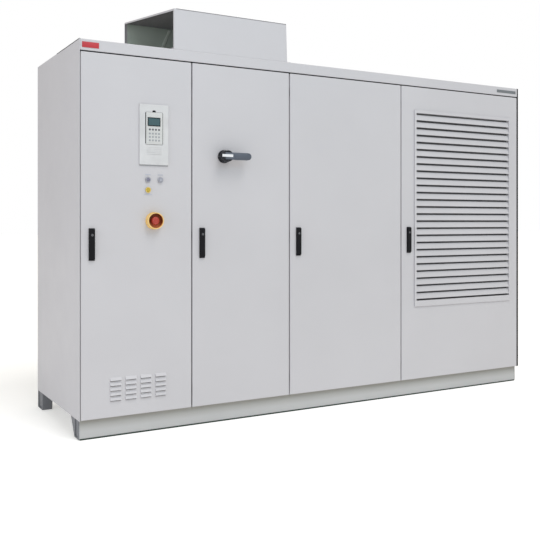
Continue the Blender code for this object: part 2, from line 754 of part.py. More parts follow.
def roof_fan():
    duct = paint("fan_duct", ZINC, 0.4, 0.8)
    x, y = FAN_X, FAN_Y
    centre = Matrix.Translation((x, y, 0))
    top = TOP_Z - SHEET - TOUCH
    bottom = FAN_BOTTOM
    spider = [rod((x, y, bottom + 0.003), (x, y, bottom + 0.019), 0.062, 24)]
    for arm in range(3):
        lift = Matrix.Translation((0, 0, bottom + 0.011))
        turn = centre @ Matrix.Rotation(math.pi * arm / 3, 4, "Z") @ lift
        spider.append(box_turned(turn, (2 * FAN_BORE_R + 0.008, 0.022, 0.016)))
    housing = solid(
        "fan_housing",
        duct,
        rod((x, y, bottom), (x, y, top), FAN_BORE_R + 0.007, 32),
        add=[rod((x, y, top - 0.004), (x, y, top), FAN_BORE_R + 0.037, 32)],
        cut=[rod((x, y, bottom - 0.01), (x, y, top + 0.01), FAN_BORE_R, 32)],
    )
    combine(housing, spider, "UNION")
    combine(housing, [rod((x, y, bottom - 0.01), (x, y, bottom + 0.04), 0.012, 16)], "DIFFERENCE")

    ribs = []
    for rib in range(8):
        lift = Matrix.Translation((0, 0, bottom - 0.085))
        turn = centre @ Matrix.Rotation(math.pi * rib / 8, 4, "Z") @ lift
        ribs.append(box_turned(turn, (0.166, 0.006, 0.130)))
    solid(
        "fan_motor",
        paint("motor_grey", (0.12, 0.13, 0.14), 0.5),
        rod((x, y, bottom - 0.175), (x, y, bottom + 0.0027), 0.072, 24),
        add=ribs + [rod((x, y, bottom - 0.01), (x, y, bottom + 0.075), 0.009, 16)],
    )
    hub_z = bottom + 0.090
    blades = []
    for blade in range(FAN_BLADES):
        around = Matrix.Rotation(2 * math.pi * blade / FAN_BLADES, 4, "Z")
        reach = Matrix.Translation((0.139, 0, hub_z))
        pitched = centre @ around @ reach @ Matrix.Rotation(BLADE_PITCH, 4, "X")
        blades.append(box_turned(pitched, (0.158, 0.078, 0.005)))
    solid(
        "fan_impeller",
        paint("impeller_black", (0.05, 0.05, 0.055), 0.5),
        rod((x, y, hub_z - 0.040), (x, y, hub_z + 0.042), 0.070, 28, 0.064),
        add=blades,
        cut=[rod((x, y, hub_z - 0.050), (x, y, hub_z - 0.012), 0.0095, 16)],
        origin=(x, y, hub_z),
    )


def control_rack():
    """The mounting plate of the control section, with its modules, and the customer terminals."""
    left, right = LEFT + 0.0030, LEFT + 0.5985
    plate_y = 0.100
    modules = (
        (0.060, 0.300, 1.480, 1.700, 0.090),
        (0.330, 0.540, 1.500, 1.700, 0.120),
        (0.060, 0.540, 1.180, 1.380, 0.070),
        (0.060, 0.240, 0.860, 1.080, 0.110),
        (0.270, 0.400, 0.880, 1.060, 0.085),
        (0.430, 0.540, 0.880, 1.060, 0.085),
        (0.060, 0.540, 1.420, 1.450, 0.050),
        (0.060, 0.540, 1.110, 1.140, 0.050),
        (0.060, 0.540, 0.780, 0.820, 0.050),
        (0.060, 0.540, 0.560, 0.600, 0.050),
    )
    solid(
        "control_plate",
        paint("module_grey", (0.32, 0.33, 0.34), 0.5),
        box_between(left, right, plate_y, plate_y + 0.003, 0.200, 1.850),
        add=[
            box_between(LEFT + x0, LEFT + x1, plate_y - depth, plate_y + 0.001, z0, z1)
            for x0, x1, z0, z1, depth in modules
        ]
        + [
            box_between(x, x + 0.002, plate_y + 0.001, plate_y + 0.030, 0.200, 1.850)
            for x in (left, right - 0.002)
        ],
    )
    blocks = [
        box_between(
            LEFT + 0.082 + 0.030 * block,
            LEFT + 0.108 + 0.030 * block,
            plate_y - 0.052,
            plate_y - 0.004,
            0.400,
            0.460,
        )
        for block in range(15)
    ]
    rail = box_between(LEFT + 0.070, LEFT + 0.540, plate_y - 0.010, plate_y - TOUCH, 0.412, 0.448)
    solid("terminal_strip", paint("terminal_beige", (0.40, 0.39, 0.35), 0.5), rail, blocks)


def rectifier_stack(heat_sink):
    """Disc cells clamped in front of a tower of fins, on a closed air plenum."""
    left, right = LEFT + 0.680, LEFT + 1.120
    front, rear = -0.060, 0.340
    plenum = box_between(left, right, front, rear, ON_FLOOR, 0.392)
    back = box_between(left + 0.004, right - 0.004, rear - 0.012, rear - 0.004, 0.386, 1.130)
    fins = []
    for fin in range(13):
        x = left + 0.020 + 0.033 * fin
        fins.append(box_between(x, x + 0.006, front + 0.080, rear - 0.008, 0.386, 1.100))
    levels = (0.450, 0.660, 0.870)
    clamps = [
        box_between(left + 0.012, right - 0.012, front + 0.034, front + 0.092, z, z + 0.090)
        for z in levels
    ]
    cells = [
        rod((left + across, front + 0.005, z + 0.045), (left + across, front + 0.040, z + 0.045), 0.036, 16)
        for across in (0.090, 0.220, 0.350)
        for z in levels
    ]
    solid("rectifier_stack", heat_sink, plenum, [back] + fins + clamps + cells)


def inverter_stack(heat_sink):
    """Three phase drawers with fins above each one, on a closed air plenum."""
    left, right = LEFT + 1.270, LEFT + 1.930
    front, rear = 0.000, 0.380
    shapes = [box_between(left + 0.010, right - 0.010, rear - 0.030, rear - 0.006, 0.340, 1.720)]
    for z in (0.420, 0.870, 1.320):
        shapes.append(box_between(left + 0.040, right - 0.040, front + 0.060, rear - 0.010, z, z + 0.250))
        for module in range(3):
            x = left + 0.085 + 0.175 * module
            shapes.append(box_between(x, x + 0.140, front + 0.012, front + 0.070, z + 0.050, z + 0.190))
        for fin in range(14):
            x = left + 0.055 + 0.042 * fin
            shapes.append(box_between(x, x + 0.006, front + 0.072, rear - 0.012, z + 0.240, z + 0.350))
    plenum = box_between(left, right, front, rear, ON_FLOOR, 0.360)
    solid("inverter_stack", heat_sink, plenum, shapes)


def dc_link_bank():
    """Capacitor cans on a shelf that hangs from the rear panel."""
    left, right = LEFT + 2.080, LEFT + 2.920
    shelf_z = 0.860
    rear = BACK - SHEET - TOUCH
    shapes = [box_between(left + 0.002, right - 0.002, rear - 0.008, rear, shelf_z - 0.100, shelf_z + 0.420)]
    for column in range(5):
        for row in range(2):
            x, y = left + 0.090 + 0.165 * column, 0.130 + 0.220 * row
            shapes.append(rod((x, y, shelf_z + 0.006), (x, y, shelf_z + 0.360), 0.068, 20))
            shapes.append(rod((x, y, shelf_z + 0.350), (x, y, shelf_z + 0.385), 0.014, 8))
    shelf = box_between(left, right, 0.040, rear - 0.001, shelf_z, shelf_z + 0.012)
    solid("dc_link_bank", paint("capacitor_can", (0.52, 0.53, 0.54), 0.35, 0.7), shelf, shapes)


def filter_reactor():
    """Three coils on a three-limbed core, bolted to the floor through two rails."""
    left, right, middle = LEFT + 2.210, LEFT + 2.790, 0.180
    offsets = (0.002, 0.245, 0.488)
    low = ON_FLOOR + 0.060
    shapes = [box_between(left, right, middle - 0.060, middle + 0.060, 0.600, 0.690)]
    for offset in offsets:
        x = left + offset
        shapes.append(box_between(x, x + 0.090, middle - 0.057, middle + 0.057, low + 0.080, 0.610))
        shapes.append(rod((x + 0.045, middle, 0.285), (x + 0.045, middle, 0.570), 0.112, 20))
    for y in (0.060, 0.260):
        shapes.append(box_between(left + 0.030, right - 0.030, y, y + 0.040, ON_FLOOR, ON_FLOOR + 0.070))
    for offset in (0.070, 0.470):
        x = left + offset
        shapes.append(box_between(x, x + 0.040, 0.070, 0.290, ON_FLOOR + 0.034, low + 0.006))
    yoke = box_between(left, right, middle - 0.060, middle + 0.060, low, low + 0.090)
    solid("filter_reactor", paint("reactor_brown", (0.16, 0.075, 0.045), 0.6), yoke, shapes)


def build():
    base_and_feet()
    enclosure()
    exhaust_hood()
    made = doors()
    hinges_and_handles(made)
    operator_panel(made["control"])
    buttons(made["control"])
    isolator(made["isolator"])
    inlet_grille(made["filter"])
    roof_fan()
    control_rack()
    heat_sink = paint("heat_sink_aluminium", (0.60, 0.61, 0.62), 0.4, 0.9)
    rectifier_stack(heat_sink)
    inverter_stack(heat_sink)
    dc_link_bank()
    filter_reactor()


build()
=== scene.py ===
"""Looks of the variable frequency drive cabinet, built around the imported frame.

Metres, +Z up. The doors face -Y, X = 0 is the middle of the cabinet and Z = 0 is the floor.
"""

import json
import math

import bmesh
import bpy
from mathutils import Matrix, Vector


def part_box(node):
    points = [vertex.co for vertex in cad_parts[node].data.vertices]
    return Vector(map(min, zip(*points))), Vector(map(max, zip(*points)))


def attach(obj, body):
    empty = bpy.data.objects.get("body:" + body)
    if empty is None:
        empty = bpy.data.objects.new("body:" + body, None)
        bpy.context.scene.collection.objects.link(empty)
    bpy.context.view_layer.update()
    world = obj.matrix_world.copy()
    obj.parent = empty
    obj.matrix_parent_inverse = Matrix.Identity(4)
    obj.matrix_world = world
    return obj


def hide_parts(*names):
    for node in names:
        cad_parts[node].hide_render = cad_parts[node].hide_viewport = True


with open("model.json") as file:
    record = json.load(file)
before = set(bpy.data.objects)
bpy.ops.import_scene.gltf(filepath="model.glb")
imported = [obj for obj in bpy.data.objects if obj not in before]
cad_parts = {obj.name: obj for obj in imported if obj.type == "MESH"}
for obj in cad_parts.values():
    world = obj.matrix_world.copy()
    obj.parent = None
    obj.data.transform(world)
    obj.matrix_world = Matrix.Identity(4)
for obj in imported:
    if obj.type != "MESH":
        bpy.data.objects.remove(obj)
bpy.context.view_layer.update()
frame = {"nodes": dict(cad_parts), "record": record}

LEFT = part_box("side_panel_left")[0].x
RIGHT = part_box("side_panel_right")[1].x
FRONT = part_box("fascia")[0].y
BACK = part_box("rear_panel")[1].y
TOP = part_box("fascia")[1].z
DOORS = ("control", "isolator", "inverter", "filter")


# Camera, stage and light.

CAMERA_AT = (-2.605, -4.462, 1.095)
CAMERA_YAW = math.radians(31.1)
CAMERA_LENS = 54.23
CAMERA_SHIFT = (-0.0741, -0.0901)
SKY_COLOUR = (1.0, 0.975, 0.925)
SKY_STRENGTH = 0.53
FLOOR_GLOW = 0.18
FLOOR_WHITENING = 0.22
SUN_AT = (0.141, -0.526, 0.839)
PANEL = {"shape": "RECTANGLE", "size": 3.0, "size_y": 3.0}
STRIP = {"shape": "RECTANGLE", "size": 6.0, "size_y": 1.5}


def add_camera():
    data = bpy.data.cameras.new("camera")
    data.lens = CAMERA_LENS
    data.sensor_width = 36.0
    data.shift_x, data.shift_y = CAMERA_SHIFT
    camera = bpy.data.objects.new("camera", data)
    camera.location = CAMERA_AT
    camera.rotation_euler = (math.pi / 2, 0, -CAMERA_YAW)
    bpy.context.scene.collection.objects.link(camera)
    bpy.context.scene.camera = camera


def add_lamp(name, kind, at, towards, **settings):
    data = bpy.data.lights.new(name, kind)
    for key, value in settings.items():
        setattr(data, key, value)
    lamp = bpy.data.objects.new(name, data)
    lamp.location = at
    lamp.rotation_euler = (Vector(towards) - Vector(at)).to_track_quat("-Z", "Y").to_euler()
    bpy.context.scene.collection.objects.link(lamp)


def add_stage():
    scene = bpy.context.scene
    scene.view_settings.view_transform = "Standard"
    world = bpy.data.worlds.new("studio")
    world.use_nodes = True
    tree = world.node_tree
    dim = tree.nodes["Background"]
    dim.inputs["Color"].default_value = (*SKY_COLOUR, 1)
    dim.inputs["Strength"].default_value = SKY_STRENGTH
    backdrop = tree.nodes.new("ShaderNodeBackground")
    backdrop.inputs["Color"].default_value = (1, 1, 1, 1)
    path = tree.nodes.new("ShaderNodeLightPath")
    choose = tree.nodes.new("ShaderNodeMixShader")
    tree.links.new(path.outputs["Is Camera Ray"], choose.inputs["Fac"])
    tree.links.new(dim.outputs["Background"], choose.inputs[1])
    tree.links.new(backdrop.outputs["Background"], choose.inputs[2])
    tree.links.new(choose.outputs["Shader"], tree.nodes["World Output"].inputs["Surface"])
    scene.world = world
    mesh = bpy.data.meshes.new("studio_floor")
    mesh.from_pydata([(-60, -60, 0), (60, -60, 0), (60, 60, 0), (-60, 60, 0)], [], [(0, 1, 2, 3)])
    floor = bpy.data.objects.new("studio_floor", mesh)
    scene.collection.objects.link(floor)
    material = bpy.data.materials.new("studio_floor")
    material.use_nodes = True
    shader = material.node_tree.nodes["Principled BSDF"]
    shader.inputs["Base Color"].default_value = (0.86, 0.86, 0.85, 1)
    shader.inputs["Roughness"].default_value = 0.9
    shader.inputs["Specular IOR Level"].default_value = 0.1
    shader.inputs["Emission Color"].default_value = (1.0, 0.985, 0.96, 1)
    seen = material.node_tree.nodes.new("ShaderNodeLightPath")
    glow = material.node_tree.nodes.new("ShaderNodeMath")
    glow.operation = "MULTIPLY_ADD"
    glow.inputs[1].default_value = FLOOR_WHITENING
    glow.inputs[2].default_value = FLOOR_GLOW
    material.node_tree.links.new(seen.outputs["Is Camera Ray"], glow.inputs[0])
    material.node_tree.links.new(glow.outputs["Value"], shader.inputs["Emission Strength"])
    mesh.materials.append(material)


add_camera()
add_stage()
add_lamp("key", "SUN", SUN_AT, (0, 0, 0), energy=1.05, angle=math.radians(28), color=(1.0, 0.985, 0.955))
add_lamp("side_fill", "AREA", (-6.0, -1.6, 2.2), (-1.5, 0.1, 1.1), energy=54, color=(0.75, 0.84, 1.0),
         **PANEL)
add_lamp("high_fill", "AREA", (0.0, -4.0, 3.6), (0.0, -0.4, 1.8), energy=42, color=(0.55, 0.80, 1.0),
         **STRIP)


# Materials.

EDGE_COSINES = (0.75, 0.98)
PLINTH_SHADE = 0.072
ESTOP_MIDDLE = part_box("estop_collar")[0].z + 0.0245
BODY_GREY = (0.585, 0.570, 0.590)


def clear_nodes(name):
    material = bpy.data.materials.new(name)
    material.use_nodes = True
    tree = material.node_tree
    for node in list(tree.nodes):
        if node.type != "OUTPUT_MATERIAL" and node.type != "BSDF_PRINCIPLED":
            tree.nodes.remove(node)
    return material, tree, tree.nodes["Principled BSDF"]


def noise(tree, scale, detail=2.0, roughness=0.5, stretch=(1, 1, 1)):
    """A noise value from 0 to 1 over the object's own coordinates."""
    coordinates = tree.nodes.new("ShaderNodeTexCoord")
    mapping = tree.nodes.new("ShaderNodeMapping")
    mapping.inputs["Scale"].default_value = stretch
    texture = tree.nodes.new("ShaderNodeTexNoise")
    texture.inputs["Scale"].default_value = scale
    texture.inputs["Detail"].default_value = detail
    texture.inputs["Roughness"].default_value = roughness
    tree.links.new(coordinates.outputs["Object"], mapping.inputs["Vector"])
    tree.links.new(mapping.outputs["Vector"], texture.inputs["Vector"])
    return texture.outputs["Fac"]


def spread(tree, value, low, high, start=0.3, end=0.7):
    """Maps a noise value onto low..high."""
    node = tree.nodes.new("ShaderNodeMapRange")
    node.inputs["From Min"].default_value = start
    node.inputs["From Max"].default_value = end
    node.inputs["To Min"].default_value = low
    node.inputs["To Max"].default_value = high
    tree.links.new(value, node.inputs["Value"])
    return node.outputs["Result"]


def mix(tree, factor, first, second):
    """A colour between first and second; each is a colour or an output."""
    node = tree.nodes.new("ShaderNodeMix")
    node.data_type = "RGBA"
    tree.links.new(factor, node.inputs[0])
    for socket, value in ((node.inputs[6], first), (node.inputs[7], second)):
        if isinstance(value, tuple):
            socket.default_value = (*value, 1)
        else:
            tree.links.new(value, socket)
    return node.outputs[2]


def edge_mask(tree, radius):
    """1 on the edges of the body and 0 on its flat faces."""
    bevel = tree.nodes.new("ShaderNodeBevel")
    bevel.samples = 4
    bevel.inputs["Radius"].default_value = radius
    geometry = tree.nodes.new("ShaderNodeNewGeometry")
    dot = tree.nodes.new("ShaderNodeVectorMath")
    dot.operation = "DOT_PRODUCT"
    tree.links.new(bevel.outputs["Normal"], dot.inputs[0])
    tree.links.new(geometry.outputs["True Normal"], dot.inputs[1])
    return spread(tree, dot.outputs["Value"], 1.0, 0.0, *EDGE_COSINES)


def add_bump(tree, shader, height, distance, strength):
    bump = tree.nodes.new("ShaderNodeBump")
    bump.inputs["Strength"].default_value = strength
    bump.inputs["Distance"].default_value = distance
    tree.links.new(height, bump.inputs["Height"])
    tree.links.new(bump.outputs["Normal"], shader.inputs["Normal"])


def lower_part(tree, height, blur):
    """1 below a height and 0 above it."""
    coordinates = tree.nodes.new("ShaderNodeTexCoord")
    axes = tree.nodes.new("ShaderNodeSeparateXYZ")
    tree.links.new(coordinates.outputs["Object"], axes.inputs["Vector"])
    return spread(tree, axes.outputs["Z"], 1.0, 0.0, height - blur, height + blur)


def scaled(colour, factor):
    return tuple(min(1.0, channel * factor) for channel in colour)


def powder_coat(name, colour, roughness=0.42, grain=420.0, upper=None):
    """Satin powder coat: faint clouding, orange peel and a painted highlight on the edges."""
    material, tree, shader = clear_nodes(name)
    cloud = spread(tree, noise(tree, 1.6, 3.0), 0.0, 1.0)
    body = mix(tree, cloud, scaled(colour, 0.975), scaled(colour, 1.02))
    # Painted shadow: above PLINTH_SHADE the colour turns to upper, the shade cast by the door overhang on
    # the top of the plinth.
    if upper:
        body = mix(tree, lower_part(tree, PLINTH_SHADE, 0.030), upper, body)
    # Painted highlight: the colour is 10 % paler on the edges, where the light catches them.
    coat_edge_highlight = mix(tree, edge_mask(tree, 0.0016), body, scaled(colour, 1.10))
    tree.links.new(coat_edge_highlight, shader.inputs["Base Color"])
    tree.links.new(spread(tree, noise(tree, 7.0, 4.0), roughness - 0.05, roughness + 0.06),
                   shader.inputs["Roughness"])
    shader.inputs["Specular IOR Level"].default_value = 0.42
    add_bump(tree, shader, noise(tree, grain, 2.0), 0.0004, 0.10)
    return material


def moulded_plastic(name, colour, roughness, grain=700.0, strength=0.16, edge_highlight_gain=1.35, coat=0.0, shine=0.5,
                    lower=None):
    """Moulded plastic with a fine spark-eroded grain and a painted highlight on the edges."""
    material, tree, shader = clear_nodes(name)
    cloud = spread(tree, noise(tree, 9.0, 3.0), 0.0, 1.0)
    body = mix(tree, cloud, scaled(colour, 0.93), scaled(colour, 1.07))
    # Painted light: lower is a lighter colour below ESTOP_MIDDLE, for the lit lower part of the guard well.
    if lower:
        body = mix(tree, lower_part(tree, ESTOP_MIDDLE, 0.012), body, lower)
    # Painted highlight: the colour is lighter on the edges by the given factor.
    plastic_edge_highlight = mix(tree, edge_mask(tree, 0.0012), body, scaled(colour, edge_highlight_gain))
    tree.links.new(plastic_edge_highlight, shader.inputs["Base Color"])
    tree.links.new(spread(tree, noise(tree, 30.0, 4.0), roughness - 0.06, roughness + 0.07),
                   shader.inputs["Roughness"])
    shader.inputs["Specular IOR Level"].default_value = shine
    shader.inputs["Coat Weight"].default_value = coat
    shader.inputs["Coat Roughness"].default_value = 0.12
    add_bump(tree, shader, noise(tree, grain, 2.0), 0.0003, strength)
    return material


def bare_metal(name, colour, roughness, stretch=(1, 1, 1), grain=160.0, metallic=1.0, spangle=0.0):
    """Zinc, steel or aluminium: brushed along the stretch, or with the spangle of galvanised sheet."""
    material, tree, shader = clear_nodes(name)
    shader.inputs["Metallic"].default_value = metallic
    lines = noise(tree, grain, 4.0, 0.6, stretch)
    body = mix(tree, spread(tree, lines, 0.0, 1.0), scaled(colour, 0.86), scaled(colour, 1.10))
    if spangle:
        coordinates = tree.nodes.new("ShaderNodeTexCoord")
        cells = tree.nodes.new("ShaderNodeTexVoronoi")
        cells.inputs["Scale"].default_value = spangle
        tree.links.new(coordinates.outputs["Object"], cells.inputs["Vector"])
        grey = tree.nodes.new("ShaderNodeSeparateColor")
        tree.links.new(cells.outputs["Color"], grey.inputs["Color"])
        body = mix(tree, spread(tree, grey.outputs["Red"], 0.0, 0.45, 0.0, 1.0), body,
                   scaled(colour, 1.25))
    # Painted highlight: the colour is 30 % lighter on the edges.
    bright = mix(tree, edge_mask(tree, 0.0012), body, scaled(colour, 1.3))
    tree.links.new(bright, shader.inputs["Base Color"])
    tree.links.new(spread(tree, lines, roughness - 0.07, roughness + 0.10), shader.inputs["Roughness"])
    add_bump(tree, shader, lines, 0.0003, 0.12)
    return material


def fleece(name, colour):
    """Matted filter fibre."""
    material, tree, shader = clear_nodes(name)
    fibres = noise(tree, 900.0, 6.0, 0.75, (1, 1, 0.35))
    tree.links.new(mix(tree, spread(tree, fibres, 0.0, 1.0), scaled(colour, 0.55), scaled(colour, 1.6)),
                   shader.inputs["Base Color"])
    tree.links.new(spread(tree, fibres, 0.85, 1.0), shader.inputs["Roughness"])
    shader.inputs["Sheen Weight"].default_value = 0.25
    add_bump(tree, shader, fibres, 0.002, 0.5)
    return material


MATERIALS = {
    "body_paint": powder_coat("body_paint", BODY_GREY),
    "side_paint": powder_coat("side_paint", BODY_GREY),
    # The plinth's darker olive top band is a painted shadow under the doors.
    "plinth_paint": powder_coat("plinth_paint", (0.500, 0.500, 0.500), 0.5, upper=(0.330, 0.320, 0.285)),
    "foot_paint": powder_coat("foot_paint", (0.200, 0.205, 0.220), 0.55),
    "galvanised_sheet": bare_metal("galvanised_sheet", (0.50, 0.51, 0.52), 0.45, spangle=95.0),
    "bright_steel": bare_metal("bright_steel", (0.56, 0.56, 0.55), 0.32, (1, 1, 0.05)),
    "handle_black": moulded_plastic("handle_black", (0.006, 0.006, 0.008), 0.5, edge_highlight_gain=2.0, shine=0.18),
    "panel_plastic": moulded_plastic("panel_plastic", (0.64, 0.635, 0.64), 0.45, edge_highlight_gain=1.1),
    "keypad_case": moulded_plastic("keypad_case", (0.62, 0.62, 0.61), 0.42, edge_highlight_gain=1.1),
    "display_glass": moulded_plastic("display_glass", (0.048, 0.105, 0.118), 0.2, 120.0, 0.02, coat=0.5),
    "key_rubber": moulded_plastic("key_rubber", (0.10, 0.10, 0.115), 0.6),
    "contact_block": moulded_plastic("contact_block", (0.34, 0.35, 0.37), 0.5),
    "cap_dark": moulded_plastic("cap_dark", (0.20, 0.20, 0.27), 0.3, coat=0.4),
    "cap_light": moulded_plastic("cap_light", (0.40, 0.41, 0.46), 0.3, coat=0.4),
    "cap_yellow": moulded_plastic("cap_yellow", (0.50, 0.36, 0.035), 0.35, coat=0.3),
    "estop_yellow": moulded_plastic("estop_yellow", (0.85, 0.57, 0.20), 0.42, edge_highlight_gain=1.15),
    "estop_red": moulded_plastic("estop_red", (0.45, 0.045, 0.028), 0.32, edge_highlight_gain=1.25, coat=0.35),
    "isolator_black": moulded_plastic("isolator_black", (0.012, 0.012, 0.016), 0.46, edge_highlight_gain=2.0,
                                      shine=0.3),
    "isolator_slate": moulded_plastic("isolator_slate", (0.090, 0.105, 0.135), 0.42, edge_highlight_gain=1.5),
    "switch_moulding": moulded_plastic("switch_moulding", (0.13, 0.14, 0.16), 0.5),
    "filter_fleece": fleece("filter_fleece", (0.10, 0.10, 0.105)),
    "impeller_black": moulded_plastic("impeller_black", (0.05, 0.05, 0.055), 0.5),
    "motor_grey": powder_coat("motor_grey", (0.12, 0.13, 0.14), 0.5),
    "module_grey": moulded_plastic("module_grey", (0.32, 0.33, 0.34), 0.5),
    "terminal_beige": moulded_plastic("terminal_beige", (0.40, 0.39, 0.35), 0.5),
    "heat_sink": bare_metal("heat_sink", (0.62, 0.63, 0.64), 0.40, (1, 0.05, 0.05), 200.0),
    "capacitor_can": bare_metal("capacitor_can", (0.55, 0.56, 0.57), 0.34, (1, 1, 0.05), 220.0),
    "reactor_core": powder_coat("reactor_core", (0.16, 0.075, 0.045), 0.55),
}
slot_of = {part["node"]: part["material_slot"] for part in frame["record"]["subparts"]}
for node_name, node in frame["nodes"].items():
    node.data.materials.clear()
    node.data.materials.append(MATERIALS[slot_of[node_name]])


# Added pieces.

GAP = 0.0003
SHARP_ANGLE = math.radians(35.0)
HOOD_FRONT_RISE = 0.217
HOOD_BACK_RISE = 0.311
HOOD_WALL = 0.0032
KEY_RADIUS = 0.0050
KEY_COLUMNS = (-0.0249, -0.0083, 0.0083, 0.0249)
RING_OUTER = 0.0146
RING_REACH = 0.0076
SEAMS = (LEFT + 0.600, LEFT + 1.200, LEFT + 2.000)
SCREWS_IN_COLUMN = 8
SCREW_PITCH = 0.2575
RIVETS_IN_ROW = 8
GUARD_RINGS = 6
GUARD_WIRE = 0.0018
TERMINALS = 26


def new_block(bm, low, high, radius=0.0, segments=2):
    """A box between two corners, with its edges rounded."""
    low, high = Vector(low), Vector(high)
    corners = bmesh.ops.create_cube(bm, size=1.0)["verts"]
    for corner in corners:
        corner.co = Vector(low[i] + (corner.co[i] + 0.5) * (high[i] - low[i]) for i in range(3))
    if radius:
        edges = list({edge for corner in corners for edge in corner.link_edges})
        bmesh.ops.bevel(bm, geom=edges, offset=radius, segments=segments, profile=0.5, affect="EDGES")


def new_turned(bm, x, z, profile, steps=32, closed=False, place=None):
    """A shape turned about an axis along Y through (x, z); its profile is (radius, distance ahead of FRONT).

    place(a, b, ahead) gives the point for another axis, with a and b across it.
    """
    place = place or (lambda a, b, ahead: (x + a, FRONT - ahead, z + b))
    rings = []
    for radius, ahead in profile:
        if radius == 0:
            rings.append([bm.verts.new(place(0.0, 0.0, ahead))])
            continue
        ring = []
        for step in range(steps):
            angle = 2 * math.pi * step / steps
            ring.append(bm.verts.new(place(radius * math.cos(angle), radius * math.sin(angle), ahead)))
        rings.append(ring)
    pairs = list(zip(rings, rings[1:]))
    if closed:
        pairs.append((rings[-1], rings[0]))
    for first, second in pairs:
        for step in range(steps if len(first) + len(second) > 2 else 0):
            after = (step + 1) % steps
            corners = [first[step % len(first)], first[after % len(first)]]
            corners += [second[after % len(second)], second[step % len(second)]]
            bm.faces.new(list(dict.fromkeys(corners)))


def new_extrusion(bm, outline, place, length):
    """An outline of (a, b) pairs, pushed along its third axis; place(a, b, c) gives the point."""
    start = [bm.verts.new(place(a, b, 0.0)) for a, b in outline]
    end = [bm.verts.new(place(a, b, length)) for a, b in outline]
    bm.faces.new(start)
    bm.faces.new(end[::-1])
    for index in range(len(outline)):
        after = (index + 1) % len(outline)
        bm.faces.new((start[index], end[index], end[after], start[after]))


def new_window(bm, low, high, width, radius=0.0):
    """A rectangular ring facing -Y: low and high are its outer corners, width is (side, top and bottom)."""
    sides = (
        ((low[0], low[1], low[2]), (low[0] + width[0], high[1], high[2])),
        ((high[0] - width[0], low[1], low[2]), (high[0], high[1], high[2])),
        ((low[0] + width[0], low[1], low[2]), (high[0] - width[0], high[1], low[2] + width[1])),
        ((low[0] + width[0], low[1], high[2] - width[1]), (high[0] - width[0], high[1], high[2])),
    )
    for start, end in sides:
        new_block(bm, start, end, radius)


def add_piece(name, bm, body, slot, stands_for=(), material=None):
    """Turns bm into a piece that rides on a body, with the material of slot unless material is given;
    stands_for are the CAD nodes it replaces.
    """
    bmesh.ops.recalc_face_normals(bm, faces=bm.faces)
    mesh = bpy.data.meshes.new(name)
    bm.to_mesh(mesh)
    bm.free()
    mesh.shade_smooth()
    mesh.set_sharp_from_angle(angle=SHARP_ANGLE)
    mesh.materials.append(material or MATERIALS[slot])
    piece = bpy.data.objects.new(name, mesh)
    bpy.context.scene.collection.objects.link(piece)
    if stands_for:
        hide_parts(*stands_for)
    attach(piece, body)


def operator_panel_details():
    """Keypad, display frame, and dark pieces that paint the shade in the gaps round the handset, in the
    finger notch and under the bezel.
    """
    bezel_low, bezel_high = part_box("panel_bezel")
    case_low, case_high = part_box("control_panel")
    glass_low, glass_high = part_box("panel_display")
    pad_low, pad_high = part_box("panel_keypad")
    face = case_low.y

    bm = bmesh.new()
    new_block(bm, (pad_low.x, face - 0.0010, pad_low.z), (pad_high.x, face - GAP, pad_high.z), 0.0003, 1)
    add_piece("keypad_plate", bm, "control_panel", "keypad_case", ("panel_keypad",))

    middle = (pad_low.x + pad_high.x) / 2 - 0.0003
    proud = FRONT - face
    rows = ((1.5705, "key_rubber"), (1.5500, "contact_block"), (1.5325, "contact_block"),
            (1.5150, "contact_block"))
    for number, (z, slot) in enumerate(rows):
        bm = bmesh.new()
        for across in KEY_COLUMNS:
            profile = ((0, proud + 0.0012), (KEY_RADIUS, proud + 0.0012), (KEY_RADIUS, proud + 0.0020),
                       (KEY_RADIUS * 0.75, proud + 0.0026), (0, proud + 0.0027))
            new_turned(bm, middle + across, z, profile, 20)
        add_piece(f"keypad_row_{number + 1}", bm, "control_panel", slot)

    bm = bmesh.new()
    low = (glass_low.x - 0.0008, glass_low.y - 0.0006, glass_low.z - 0.0008)
    high = (glass_high.x + 0.0008, face - GAP, glass_high.z + 0.0008)
    new_window(bm, low, high, (0.0034, 0.0042), 0.0002)
    add_piece("display_surround", bm, "control_panel", "handle_black")

    # Painted shade: black strips in the gaps either side of the handset.
    bm = bmesh.new()
    reach = (bezel_low.y - 0.0005, bezel_low.y + 0.0040)
    z = (case_low.z + 0.0040, case_high.z - 0.0025)
    new_block(bm, (case_low.x - 0.0040, reach[0], z[0]), (case_low.x - 0.0002, reach[1], z[1]), 0.0004,
              1)
    new_block(bm, (case_high.x + 0.0002, reach[0], z[0]), (case_high.x + 0.0030, reach[1], z[1]), 0.0004,
              1)
    add_piece("handset_gap_shade", bm, "door_control", "handle_black")

    # Painted shade: a black disc at the bottom of the finger notch.
    bm = bmesh.new()
    profile = ((0, 0.0024), (0.0106, 0.0024), (0.0106, 0.0036), (0, 0.0038))
    new_turned(bm, (case_low.x + case_high.x) / 2, case_high.z + 0.0010, profile, 24)
    add_piece("finger_notch_shade", bm, "door_control", "handle_black")

    # Painted shadow: a grey strip along the foot of the bezel, where it casts its shadow.
    bm = bmesh.new()
    low = (bezel_low.x + 0.0010, FRONT - 0.0040, bezel_low.z - 0.0045)
    new_block(bm, low, (bezel_high.x - 0.0010, FRONT - GAP, bezel_low.z - 0.0001), 0.0004, 1)
    add_piece("bezel_shadow_strip", bm, "door_control", "contact_block")


